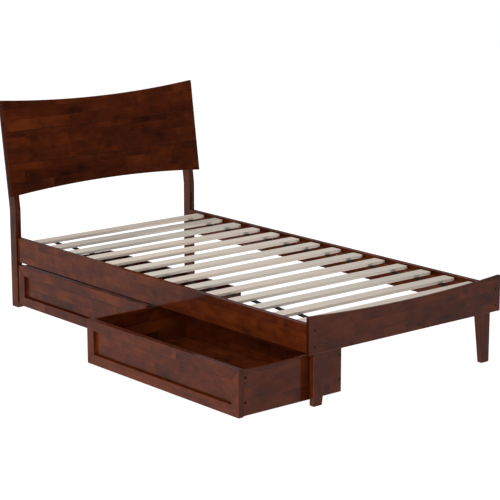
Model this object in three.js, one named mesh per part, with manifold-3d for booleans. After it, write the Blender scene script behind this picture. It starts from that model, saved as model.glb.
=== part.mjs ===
/**
 * Platform bed for a 39 by 80 inch mattress, with two rolling storage drawers under one side.
 *
 * Millimetres, +Z up. The bed is laid out from the middle of its floor plan: X runs across it and Y runs
 * from the foot to the head. The head drawer is shut and the foot drawer is pulled out towards -X. The
 * exported group's origin is on the floor, under the middle of the whole footprint with that drawer out.
 */
import * as THREE from "three";
import { mergeVertices } from "three/addons/utils/BufferGeometryUtils.js";
import Module from "manifold-3d";

const wasm = await Module();
wasm.setup();

// ---- Driving dimensions -------------------------------------------------------------------------------

// Frame
const RAIL_SPAN = 1040; // outer face to outer face of the side rails
const INNER_LENGTH = 2040; // head post face to footboard back
const RAIL_THICKNESS = 22;
const RAIL_HEIGHT = 116;
const RAIL_BOTTOM = 218; // height above the floor

// Head posts: upright to the bend, then raked back
const POST_WIDTH = 31;
const POST_DEPTH = 48;
const POST_REVEAL = 10; // how far a post stands proud of the rail's outer face
const POST_BEND = 468; // height of the bend on the front face
const POST_RAKE = THREE.MathUtils.degToRad(8.4);
const POST_TOP_DROP = 25; // post top below the headboard's top corners, along the rake

// Headboard: planks laid on the raked front faces of the posts
const HEADBOARD_OVERHANG = 24; // past the posts' outer faces
const HEADBOARD_HEIGHT = 448; // along the rake, at the ends
const HEADBOARD_THICKNESS = 22;
const HEADBOARD_RISE = 62; // from the bend to the lower corners, along the rake
const HEADBOARD_DIP = 27; // dip of the top edge in the middle
const HEADBOARD_ARCH = 27; // rise of the bottom edge in the middle
const PLANK_COUNT = 3;
const TURNED_GAP = 0.3; // play between pieces inside the raked group

// Footboard and the legs behind it
const FOOTBOARD_OVERHANG = 18; // past the rails' outer faces
const FOOTBOARD_THICKNESS = 18;
const FOOTBOARD_LIFT = 1; // bottom edge above the rails' bottom edges
const FOOTBOARD_HEIGHT = 154; // at the ends
const FOOTBOARD_DIP = 21;
const LEG_DEPTH = 23;
const LEG_FOOT_WIDTH = 47;
const LEG_HEAD_WIDTH = 76;
const LEG_FOOT_CHAMFER = 3;
const LEG_TOP_DROP = 18; // leg top below the rail top

// Hook plates that hang the rails on the head posts
const HOOK_THICKNESS = 3;
const HOOK_HEIGHT = 80;
const HOOK_IN_RAIL = 40;
const HOOK_IN_POST = 9;
const HOOK_RISE = 18; // plate bottom above the rail bottom
const HOOK_PLAY = 0.3;
const SLOT_SIDE_CLEARANCE = 2.5; // hook plate to the post slot's sides
const SLOT_END_CLEARANCE = 3; // hook plate's end to the slot's floor
const SLOT_ABOVE_RAIL = 86;
const SLOT_BELOW_HOOK = 8;

// Slats, the ledgers they lie on and the straps that hold their spacing
const SLAT_COUNT = 14;
const SLAT_WIDTH = 64;
const SLAT_THICKNESS = 12;
const SLAT_CORNER = 7;
const SLAT_DROP = 5; // slat top below the rail top
const SLAT_END_GAP = 12; // slat end to the rail's inner face
const SLAT_HEAD_SETBACK = 106; // head post face to the first slat's middle
const SLAT_FOOT_SETBACK = 85.4; // footboard back to the last slat's middle
const LEDGER_WIDTH = 30;
const LEDGER_HEIGHT = 25;
const LEDGER_END_GAP = 2;
const STRAP_WIDTH = 28;
const STRAP_THICKNESS = 1.5;
const STRAP_INSET = 91; // slat end to the strap's middle
const STRAP_SETBACK = 8; // strap end inside the outer slat's edge

// Drawers
const PULL_OUT = 315; // how far the foot drawer stands open
const DRAWER_DEPTH = 528; // front face to back face
const DRAWER_FACE_PROUD = 8; // shut drawer face past the rail's outer face
const POST_TO_DRAWER = 12;
const LEG_TO_DRAWER = 16;
const DRAWER_TO_DRAWER = 8;
const RAIL_TO_DRAWER = 12;
const DRAWER_OFF_FLOOR = 15.5;
const FRAME_THICKNESS = 25;
const FRAME_WIDTH = 44; // stiles and rails of the mitred front
const PANEL_RECESS = 14; // front face to the field of the panel inside the frame
const FIELD_PLAY = 0.4; // between the field and the frame
const WALL = 12; // box front, sides and back
const WALL_REVEAL = 4; // box edge inside the front's top and bottom edges
const BOTTOM_THICKNESS = 6;
const BOTTOM_CLEARANCE = 5.5; // bottom panel above the wheels
const GROOVE_DEPTH = 5;
const GROOVE_PLAY = 0.3;

// Wheels and the runners that carry them
const WHEEL_RADIUS = 15;
const WHEEL_WIDTH = 14;
const WHEEL_FLANK = 1.5; // depth of the dished flank
const HUB_WALL = 2.4;
const TREAD_WALL = 3; // flat rim and its chamfer
const RIM_SLOPE = 1; // width of the slope from rim to dish
const HUB_SLOPE = 0.6;
const TREAD_CHAMFER = 1.2;
const PIN_RADIUS = 3;
const PIN_SEAT = 2; // how far a pin's end runs into the runner
const BORE_PLAY = 0.4;
const WHEEL_SIDE_PLAY = 1.5;
const WHEEL_CLEARANCE = 3; // pocket end to tyre
const RUNNER_WIDTH = 34;
const RUNNER_BELOW_PIN = 6;
const RUNNER_INSET = 60; // side wall's outer face to the runner's middle
const RUNNER_END_GAP = 10;
const WHEEL_END_INSET = 45; // runner end to wheel middle
const ROUND_STEPS = 24;
const OVERCUT = 1; // how far a cutting block runs past the face it opens

// ---- Derived places -----------------------------------------------------------------------------------

const RAIL_OUT = RAIL_SPAN / 2;
const RAIL_IN = RAIL_OUT - RAIL_THICKNESS;
const RAIL_MIDDLE = RAIL_OUT - RAIL_THICKNESS / 2;
const RAIL_TOP = RAIL_BOTTOM + RAIL_HEIGHT;
const FOOTBOARD_BOTTOM = RAIL_BOTTOM + FOOTBOARD_LIFT;
const POST_OUT = RAIL_OUT + POST_REVEAL;
const HEAD_Y = INNER_LENGTH / 2; // front face of the head posts
const FOOT_Y = -INNER_LENGTH / 2; // back of the footboard
const SLAT_TOP = RAIL_TOP - SLAT_DROP;
const SLAT_BOTTOM = SLAT_TOP - SLAT_THICKNESS;
const SLAT_LENGTH = 2 * (RAIL_IN - SLAT_END_GAP);
const FIRST_SLAT_Y = HEAD_Y - SLAT_HEAD_SETBACK;
const LAST_SLAT_Y = FOOT_Y + SLAT_FOOT_SETBACK;
const SLAT_PITCH = (FIRST_SLAT_Y - LAST_SLAT_Y) / (SLAT_COUNT - 1);
const HOOK_BOTTOM = RAIL_BOTTOM + HOOK_RISE;
const DRAWER_LENGTH = (INNER_LENGTH - POST_TO_DRAWER - LEG_DEPTH - LEG_TO_DRAWER - DRAWER_TO_DRAWER) / 2;
const DRAWER_TOP = RAIL_BOTTOM - RAIL_TO_DRAWER;
const SHUT_FACE_X = -(RAIL_OUT + DRAWER_FACE_PROUD);
const WALL_BOTTOM = DRAWER_OFF_FLOOR + WALL_REVEAL;
const WALL_TOP = DRAWER_TOP - WALL_REVEAL;
const PANEL_BOTTOM = 2 * WHEEL_RADIUS + BOTTOM_CLEARANCE;

// ---- Materials ----------------------------------------------------------------------------------------

const paint = (color, roughness, metalness = 0) => () =>
  new THREE.MeshStandardMaterial({ color, roughness, metalness });
const walnutStain = paint(0x5a3126, 0.38);
const slatWood = paint(0xc6b9ab, 0.7);
const webbing = paint(0x2c2f2a, 0.9);
const steel = paint(0x8d8f92, 0.35, 1);
const wheelPlastic = paint(0x2a2a2b, 0.5);

// ---- Shape helpers ------------------------------------------------------------------------------------

const X = new THREE.Vector3(1, 0, 0);
const Y = new THREE.Vector3(0, 1, 0);
const Z = new THREE.Vector3(0, 0, 1);

/** A closed outline through the points given. */
function outline(points) {
  return new THREE.Shape(points.map(([u, v]) => new THREE.Vector2(u, v)));
}

/** Extrudes a shape by depth, with the shape's own x, y and the extrusion along the three axes given. */
function extrude(shape, depth, axes, curveSegments = 12) {
  const geometry = new THREE.ExtrudeGeometry(shape, { depth, bevelEnabled: false, curveSegments });
  return geometry.applyMatrix4(new THREE.Matrix4().makeBasis(...axes));
}

/** An outline in the YZ plane, extruded along +X. */
const alongX = (shape, depth) => extrude(shape, depth, [Y, Z, X]);
/** An outline in the XZ plane, extruded along -Y. */
const alongMinusY = (shape, depth, segments) => extrude(shape, depth, [X, Z, Y.clone().negate()], segments);

/** A block between two corners. */
function block(low, high) {
  const size = high.map((value, axis) => value - low[axis]);
  const middle = high.map((value, axis) => (value + low[axis]) / 2);
  return new THREE.BoxGeometry(...size).translate(...middle);
}

/** A named mesh with its own material. */
function piece(name, geometry, material) {
  const mesh = new THREE.Mesh(geometry, material());
  mesh.name = name;
  return mesh;
}

/** The solid of a closed geometry. */
function solid(geometry) {
  const bare = new THREE.BufferGeometry();
  bare.setAttribute("position", geometry.getAttribute("position").clone());
  if (geometry.index) {
    bare.setIndex(geometry.index.clone());
  }
  const merged = mergeVertices(bare, 1e-4);
  const mesh = new wasm.Mesh({
    numProp: 3,
    vertProperties: new Float32Array(merged.attributes.position.array),
    triVerts: new Uint32Array(merged.index.array),
  });
  return new wasm.Manifold(mesh);
}

/** A geometry from a solid. */
function surface(made) {
  const mesh = made.getMesh();
  const geometry = new THREE.BufferGeometry();
  geometry.setAttribute("position", new THREE.BufferAttribute(new Float32Array(mesh.vertProperties), 3));
  geometry.setIndex(new THREE.BufferAttribute(new Uint32Array(mesh.triVerts), 1));
  geometry.computeVertexNormals();
  return geometry;
}

/** A round bar of the radius given, along Y. */
function barAlongY(radius, length, x, y, z) {
  return new THREE.CylinderGeometry(radius, radius, length, ROUND_STEPS).translate(x, y, z);
}

/** Adds an edge to a path: a shallow arc from where it is to (u, v), its middle moved by sag. */
function bowTo(path, u, v, sag) {
  const from = path.currentPoint.clone();
  const chord = new THREE.Vector2(u - from.x, v - from.y);
  const half = chord.length() / 2;
  const radius = (half * half + sag * sag) / (2 * sag);
  const normal = new THREE.Vector2(-chord.y, chord.x).normalize();
  const middle = new THREE.Vector2((from.x + u) / 2, (from.y + v) / 2);
  const centre = middle.addScaledVector(normal, sag - radius);
  const start = Math.atan2(from.y - centre.y, from.x - centre.x);
  const end = Math.atan2(v - centre.y, u - centre.x);
  path.absarc(centre.x, centre.y, Math.abs(radius), start, end, sag > 0);
}

// ---- Head end -----------------------------------------------------------------------------------------

/** A dog-legged head post on one side, with the routed slot that takes the rail's hook plate. */
function headPost(side) {
  const lean = (along, out) => [
    HEAD_Y + out * Math.cos(POST_RAKE) + along * Math.sin(POST_RAKE),
    POST_BEND - out * Math.sin(POST_RAKE) + along * Math.cos(POST_RAKE),
  ];
  const top = HEADBOARD_RISE + HEADBOARD_HEIGHT - POST_TOP_DROP;
  const profile = outline([
    [HEAD_Y, 0],
    [HEAD_Y + POST_DEPTH, 0],
    [HEAD_Y + POST_DEPTH, POST_BEND - POST_DEPTH * Math.tan(POST_RAKE / 2)],
    lean(top, POST_DEPTH),
    lean(top, 0),
    [HEAD_Y, POST_BEND],
  ]);
  const inner = side > 0 ? POST_OUT - POST_WIDTH : -POST_OUT;
  const blank = alongX(profile, POST_WIDTH).translate(inner, 0, 0);
  const slotMiddle = side * RAIL_MIDDLE;
  const halfWide = HOOK_THICKNESS / 2 + SLOT_SIDE_CLEARANCE;
  const slot = block(
    [slotMiddle - halfWide, HEAD_Y - OVERCUT, HOOK_BOTTOM - SLOT_BELOW_HOOK],
    [slotMiddle + halfWide, HEAD_Y + HOOK_IN_POST + SLOT_END_CLEARANCE, RAIL_TOP + SLOT_ABOVE_RAIL],
  );
  return surface(solid(blank).subtract(solid(slot)));
}

/** One headboard plank, counted from the bottom; the lowest has the arch and the highest has the dip. */
function headboardPlank(index) {
  const half = POST_OUT + HEADBOARD_OVERHANG;
  const step = HEADBOARD_HEIGHT / PLANK_COUNT;
  const low = index * step + (index > 0 ? TURNED_GAP : 0);
  const high = (index + 1) * step;
  const shape = new THREE.Shape();
  shape.moveTo(-half, low);
  if (index === 0) {
    bowTo(shape, half, low, HEADBOARD_ARCH);
  } else {
    shape.lineTo(half, low);
  }
  shape.lineTo(half, high);
  if (index === PLANK_COUNT - 1) {
    bowTo(shape, -half, high, HEADBOARD_DIP);
  } else {
    shape.lineTo(-half, high);
  }
  return alongMinusY(shape, HEADBOARD_THICKNESS, 32);
}

/** The raked group that holds the planks, against the front faces of the posts. */
function headboard() {
  const group = new THREE.Group();
  group.position.set(0, HEAD_Y, POST_BEND);
  group.rotation.x = -POST_RAKE;
  const names = ["headboard_plank_lower", "headboard_plank_middle", "headboard_plank_upper"];
  names.forEach((name, index) => {
    const plank = piece(name, headboardPlank(index), walnutStain);
    plank.position.set(0, -TURNED_GAP, HEADBOARD_RISE);
    group.add(plank);
  });
  return group;
}

// ---- Foot end -----------------------------------------------------------------------------------------

/** The footboard, with its dipping top edge. */
function footboard() {
  const half = RAIL_OUT + FOOTBOARD_OVERHANG;
  const top = FOOTBOARD_BOTTOM + FOOTBOARD_HEIGHT;
  const shape = new THREE.Shape();
  shape.moveTo(-half, FOOTBOARD_BOTTOM);
  shape.lineTo(half, FOOTBOARD_BOTTOM);
  shape.lineTo(half, top);
  bowTo(shape, -half, top, FOOTBOARD_DIP);
  return alongMinusY(shape, FOOTBOARD_THICKNESS, 32).translate(0, FOOT_Y, 0);
}

/** A foot leg: straight outside, tapered inside below the footboard, with eased floor edges. */
function footLeg(side) {
  const top = RAIL_TOP - LEG_TOP_DROP;
  const shape = outline(
    [
      [RAIL_IN - LEG_FOOT_CHAMFER, 0],
      [RAIL_IN, LEG_FOOT_CHAMFER],
      [RAIL_IN, top],
      [RAIL_IN - LEG_HEAD_WIDTH, top],
      [RAIL_IN - LEG_HEAD_WIDTH, FOOTBOARD_BOTTOM],
      [RAIL_IN - LEG_FOOT_WIDTH, LEG_FOOT_CHAMFER],
      [RAIL_IN - LEG_FOOT_WIDTH + LEG_FOOT_CHAMFER, 0],
    ].map(([x, z]) => [side * x, z]),
  );
  return alongMinusY(shape, LEG_DEPTH).translate(0, FOOT_Y + LEG_DEPTH, 0);
}

// ---- Side rails and deck ------------------------------------------------------------------------------

/** A side rail, with the pocket for its hook plate sawn in the head end. */
function sideRail(side) {
  const [low, high] = side > 0 ? [RAIL_IN, RAIL_OUT] : [-RAIL_OUT, -RAIL_IN];
  const board = block([low, FOOT_Y, RAIL_BOTTOM], [high, HEAD_Y, RAIL_TOP]);
  const reach = HOOK_THICKNESS / 2 + HOOK_PLAY;
  const pocket = block(
    [side * RAIL_MIDDLE - reach, HEAD_Y - HOOK_IN_RAIL - HOOK_PLAY, HOOK_BOTTOM - HOOK_PLAY],
    [side * RAIL_MIDDLE + reach, HEAD_Y + OVERCUT, HOOK_BOTTOM + HOOK_HEIGHT + HOOK_PLAY],
  );
  return surface(solid(board).subtract(solid(pocket)));
}

/** The steel plate that ties a rail to its head post. */
function hookPlate(side) {
  return block(
    [side * RAIL_MIDDLE - HOOK_THICKNESS / 2, HEAD_Y - HOOK_IN_RAIL, HOOK_BOTTOM],
    [side * RAIL_MIDDLE + HOOK_THICKNESS / 2, HEAD_Y + HOOK_IN_POST, HOOK_BOTTOM + HOOK_HEIGHT],
  );
}

/** The ledger inside a rail, from the leg to the head post. */
function slatLedger(side) {
  const [low, high] = side > 0 ? [RAIL_IN - LEDGER_WIDTH, RAIL_IN] : [-RAIL_IN, LEDGER_WIDTH - RAIL_IN];
  return block(
    [low, FOOT_Y + LEG_DEPTH + LEDGER_END_GAP, SLAT_BOTTOM - LEDGER_HEIGHT],
    [high, HEAD_Y - LEDGER_END_GAP, SLAT_BOTTOM],
  );
}

/** A slat with rounded corners, its middle at y. */
function slat(y) {
  const long = SLAT_LENGTH / 2;
  const wide = SLAT_WIDTH / 2;
  const corner = SLAT_CORNER;
  const shape = new THREE.Shape();
  shape.absarc(long - corner, wide - corner, corner, 0, Math.PI / 2);
  shape.absarc(corner - long, wide - corner, corner, Math.PI / 2, Math.PI);
  shape.absarc(corner - long, corner - wide, corner, Math.PI, 1.5 * Math.PI);
  shape.absarc(long - corner, corner - wide, corner, 1.5 * Math.PI, 2 * Math.PI);
  const geometry = new THREE.ExtrudeGeometry(shape, {
    depth: SLAT_THICKNESS,
    bevelEnabled: false,
    curveSegments: 4,
  });
  return geometry.translate(0, y, SLAT_BOTTOM);
}

/** A webbing strap under the slats, near their ends. */
function slatStrap(side) {
  const middle = side * (SLAT_LENGTH / 2 - STRAP_INSET);
  const reach = SLAT_WIDTH / 2 - STRAP_SETBACK;
  return block(
    [middle - STRAP_WIDTH / 2, LAST_SLAT_Y - reach, SLAT_BOTTOM - STRAP_THICKNESS],
    [middle + STRAP_WIDTH / 2, FIRST_SLAT_Y + reach, SLAT_BOTTOM],
  );
}

// ---- Drawers ------------------------------------------------------------------------------------------
// A drawer is laid out with its front face at x = 0, its foot end at y = 0 and heights above the floor.

/** The section of a box wall: outer face at 0, the bottom panel's groove cut in the inner face. */
function grooved(outer, inwards) {
  const grooveTop = PANEL_BOTTOM + BOTTOM_THICKNESS + 2 * GROOVE_PLAY;
  return outline(
    [
      [0, WALL_BOTTOM],
      [WALL, WALL_BOTTOM],
      [WALL, PANEL_BOTTOM],
      [WALL - GROOVE_DEPTH, PANEL_BOTTOM],
      [WALL - GROOVE_DEPTH, grooveTop],
      [WALL, grooveTop],
      [WALL, WALL_TOP],
      [0, WALL_TOP],
    ].map(([into, z]) => [outer + inwards * into, z]),
  );
}

/** The four mitred members of a drawer front, named by where they sit. */
function frontFrame() {
  const corners = (inset) => [
    [inset, DRAWER_OFF_FLOOR + inset],
    [DRAWER_LENGTH - inset, DRAWER_OFF_FLOOR + inset],
    [DRAWER_LENGTH - inset, DRAWER_TOP - inset],
    [inset, DRAWER_TOP - inset],
  ];
  const outer = corners(0);
  const inner = corners(FRAME_WIDTH);
  const names = ["front_lower_rail", "front_head_stile", "front_upper_rail", "front_foot_stile"];
  return names.map((name, index) => {
    const next = (index + 1) % names.length;
    const shape = outline([outer[index], outer[next], inner[next], inner[index]]);
    return [name, alongX(shape, FRAME_THICKNESS)];
  });
}

/** The front wall of the box, with a raised field that stands in the frame's opening. */
function fieldedPanel(wall) {
  const inset = FRAME_WIDTH + FIELD_PLAY;
  const field = block(
    [PANEL_RECESS, inset, DRAWER_OFF_FLOOR + inset],
    [FRAME_THICKNESS + OVERCUT, DRAWER_LENGTH - inset, DRAWER_TOP - inset],
  );
  return surface(solid(wall).add(solid(field)));
}

/** A runner under the drawer's bottom, with a pocket and a pin for each wheel. */
function wheelRunner(y) {
  const low = [FRAME_THICKNESS + WALL + RUNNER_END_GAP, y - RUNNER_WIDTH / 2, WHEEL_RADIUS - RUNNER_BELOW_PIN];
  const high = [DRAWER_DEPTH - WALL - RUNNER_END_GAP, y + RUNNER_WIDTH / 2, PANEL_BOTTOM];
  const halfWide = WHEEL_WIDTH / 2 + WHEEL_SIDE_PLAY;
  const halfLong = WHEEL_RADIUS + WHEEL_CLEARANCE;
  let made = solid(block(low, high));
  for (const x of wheelPlaces()) {
    const pocket = block(
      [x - halfLong, y - halfWide, low[2] - OVERCUT],
      [x + halfLong, y + halfWide, high[2] + OVERCUT],
    );
    const pin = barAlongY(PIN_RADIUS, 2 * (halfWide + PIN_SEAT), x, y, WHEEL_RADIUS);
    made = made.subtract(solid(pocket)).add(solid(pin));
  }
  return surface(made);
}

/** The x of a runner's two wheels, front then back. */
function wheelPlaces() {
  const setIn = FRAME_THICKNESS + WALL + RUNNER_END_GAP + WHEEL_END_INSET;
  return [setIn, DRAWER_DEPTH - WALL - RUNNER_END_GAP - WHEEL_END_INSET];
}

/** A moulded wheel with a tread, a dished flank, a hub and a bore, its axle along Y. */
function wheel() {
  const bore = (PIN_RADIUS + BORE_PLAY) / Math.cos(Math.PI / ROUND_STEPS);
  const half = WHEEL_WIDTH / 2;
  const dish = half - WHEEL_FLANK;
  const flank = [
    [bore, half],
    [bore + HUB_WALL, half],
    [bore + HUB_WALL + HUB_SLOPE, dish],
    [WHEEL_RADIUS - TREAD_WALL - RIM_SLOPE, dish],
    [WHEEL_RADIUS - TREAD_WALL, half],
    [WHEEL_RADIUS - TREAD_CHAMFER, half],
    [WHEEL_RADIUS, half - TREAD_CHAMFER],
  ];
  const mirrored = flank.map(([radius, out]) => [radius, -out]);
  const loop = [...mirrored, ...flank.reverse(), mirrored[0]];
  return new THREE.LatheGeometry(loop.map(([radius, out]) => new THREE.Vector2(radius, out)), ROUND_STEPS);
}

/** One whole drawer; every piece's name starts with the prefix given. */
function drawer(prefix, faceX, footY) {
  const group = new THREE.Group();
  group.position.set(faceX, footY, 0);
  const add = (name, geometry, material) => group.add(piece(`${prefix}_${name}`, geometry, material));

  for (const [name, geometry] of frontFrame()) {
    add(name, geometry, walnutStain);
  }
  const sideLength = DRAWER_DEPTH - FRAME_THICKNESS;
  add("foot_side", alongX(grooved(0, 1), sideLength).translate(FRAME_THICKNESS, 0, 0), walnutStain);
  add("head_side", alongX(grooved(DRAWER_LENGTH, -1), sideLength).translate(FRAME_THICKNESS, 0, 0), walnutStain);

  const between = DRAWER_LENGTH - 2 * WALL;
  const crossWall = (outer, inwards) =>
    alongMinusY(grooved(outer, inwards), between).translate(0, DRAWER_LENGTH - WALL, 0);
  add("front_panel", fieldedPanel(crossWall(FRAME_THICKNESS, 1)), walnutStain);
  add("back", crossWall(DRAWER_DEPTH, -1), walnutStain);

  const panelEdge = WALL - GROOVE_DEPTH + GROOVE_PLAY;
  const panel = block(
    [FRAME_THICKNESS + panelEdge, panelEdge, PANEL_BOTTOM],
    [DRAWER_DEPTH - panelEdge, DRAWER_LENGTH - panelEdge, PANEL_BOTTOM + BOTTOM_THICKNESS],
  );
  add("bottom", panel, walnutStain);

  const runners = { foot: RUNNER_INSET, head: DRAWER_LENGTH - RUNNER_INSET };
  for (const [end, y] of Object.entries(runners)) {
    add(`${end}_runner`, wheelRunner(y), walnutStain);
    wheelPlaces().forEach((x, index) => {
      const name = `${prefix}_${end}_wheel_${index === 0 ? "front" : "back"}`;
      const mesh = piece(name, wheel(), wheelPlastic);
      mesh.position.set(x, y, WHEEL_RADIUS);
      group.add(mesh);
    });
  }
  return group;
}

// ---- Assembly -----------------------------------------------------------------------------------------

const bed = new THREE.Group();

for (const [hand, side] of [["left", -1], ["right", 1]]) {
  bed.add(piece(`head_post_${hand}`, headPost(side), walnutStain));
  bed.add(piece(`foot_leg_${hand}`, footLeg(side), walnutStain));
  bed.add(piece(`side_rail_${hand}`, sideRail(side), walnutStain));
  bed.add(piece(`hook_plate_${hand}`, hookPlate(side), steel));
  bed.add(piece(`slat_ledger_${hand}`, slatLedger(side), walnutStain));
  bed.add(piece(`slat_strap_${hand}`, slatStrap(side), webbing));
}
bed.add(headboard());
bed.add(piece("footboard", footboard(), walnutStain));

for (let index = 0; index < SLAT_COUNT; index += 1) {
  const name = `slat_${String(index + 1).padStart(2, "0")}`;
  bed.add(piece(name, slat(FIRST_SLAT_Y - index * SLAT_PITCH), slatWood));
}

const headDrawerY = HEAD_Y - POST_TO_DRAWER - DRAWER_LENGTH;
const footDrawerY = FOOT_Y + LEG_DEPTH + LEG_TO_DRAWER;
bed.add(drawer("head_drawer", SHUT_FACE_X, headDrawerY));
bed.add(drawer("foot_drawer", SHUT_FACE_X - PULL_OUT, footDrawerY));

// The origin goes under the middle of the whole footprint, to the nearest millimetre.
const footprint = new THREE.Box3().setFromObject(bed).getCenter(new THREE.Vector3());
bed.position.set(-Math.round(footprint.x), -Math.round(footprint.y), 0);

const platformBed = new THREE.Group();
platformBed.add(bed);
platformBed.updateMatrixWorld(true);

export default platformBed;
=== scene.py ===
"""Looks of a platform bed with two rolling storage drawers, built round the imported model.

Everything is in metres in the model's own frame: +Z is up, +Y points to the headboard and -X is the side
that the drawers pull out of. The foot drawer stands open and the head drawer is shut.
"""

from __future__ import annotations

import sys
import logging
import math
import random
from dataclasses import dataclass, field
from enum import Enum
from functools import partial
from typing import Any, Iterable, Sequence

import bmesh
import bpy
from mathutils import Matrix, Vector


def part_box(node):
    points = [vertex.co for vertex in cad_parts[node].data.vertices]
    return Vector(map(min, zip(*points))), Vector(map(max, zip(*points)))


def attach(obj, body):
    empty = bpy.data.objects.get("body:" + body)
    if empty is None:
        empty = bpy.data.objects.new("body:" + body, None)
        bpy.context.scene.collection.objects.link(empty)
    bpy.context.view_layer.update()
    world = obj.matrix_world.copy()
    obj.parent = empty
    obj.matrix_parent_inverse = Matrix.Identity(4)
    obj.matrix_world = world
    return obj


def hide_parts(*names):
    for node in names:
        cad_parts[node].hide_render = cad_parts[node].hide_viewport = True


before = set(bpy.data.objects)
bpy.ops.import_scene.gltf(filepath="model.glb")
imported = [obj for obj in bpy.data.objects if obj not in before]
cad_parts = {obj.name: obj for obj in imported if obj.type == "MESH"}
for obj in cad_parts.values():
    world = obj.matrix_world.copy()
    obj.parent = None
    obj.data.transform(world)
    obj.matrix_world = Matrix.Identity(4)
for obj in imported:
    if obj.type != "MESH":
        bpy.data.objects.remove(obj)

LOG = logging.getLogger("bed")
MM = 0.001
SEED = 39
EYE_AZIMUTH = math.radians(-40.013)
EYE_TILT = math.radians(12.823)
EYE_PLACE = Vector((-5.0235, -6.2494, 2.2146))
EYE_LENS_MM = 134.753
SMOOTHED = math.radians(55)
SMOOTHING_WEIGHT = 80

ALONG_X = Vector((1, 0, 0))
ALONG_Y = Vector((0, 1, 0))
ALONG_Z = Vector((0, 0, 1))
HANDS = ("left", "right")


# ---- Colours and nodes --------------------------------------------------------------------------------


def linear(code: str) -> tuple[float, float, float, float]:
    """Turns an sRGB colour code into the linear colour that a shader works in.

    Args:
        code: A colour as "#RRGGBB".

    Returns:
        Red, green, blue and an alpha of one.
    """
    channels = (int(code[at : at + 2], 16) / 255 for at in (1, 3, 5))
    straight = [c / 12.92 if c <= 0.04045 else ((c + 0.055) / 1.055) ** 2.4 for c in channels]
    return (*straight, 1.0)


def fill(tree: bpy.types.NodeTree, node: bpy.types.Node, inputs: dict[str | int, Any]) -> None:
    """Sets or links a node's inputs.

    Args:
        tree: The node's tree.
        node: The node to fill.
        inputs: For each socket's name or number, a constant, a socket or node to link, or a list of these.
    """
    for key, value in inputs.items():
        socket = node.inputs[key]
        for source in value if isinstance(value, list) else [value]:
            if isinstance(source, bpy.types.Node):
                source = source.outputs[0]
            if isinstance(source, bpy.types.NodeSocket):
                tree.links.new(source, socket)
            else:
                socket.default_value = source


def add_node(
    tree: bpy.types.NodeTree, kind: str, inputs: dict[str | int, Any] | None = None, **settings: Any
) -> bpy.types.Node:
    """Adds a node with its settings, and fills its inputs.

    Args:
        tree: The tree that gets the node.
        kind: The node's type name.
        inputs: What fill() takes.
        settings: The node's own properties.

    Returns:
        The new node.
    """
    made = tree.nodes.new(kind)
    for key, value in settings.items():
        setattr(made, key, value)
    fill(tree, made, inputs or {})
    return made


# ---- Finishes -----------------------------------------------------------------------------------------


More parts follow.
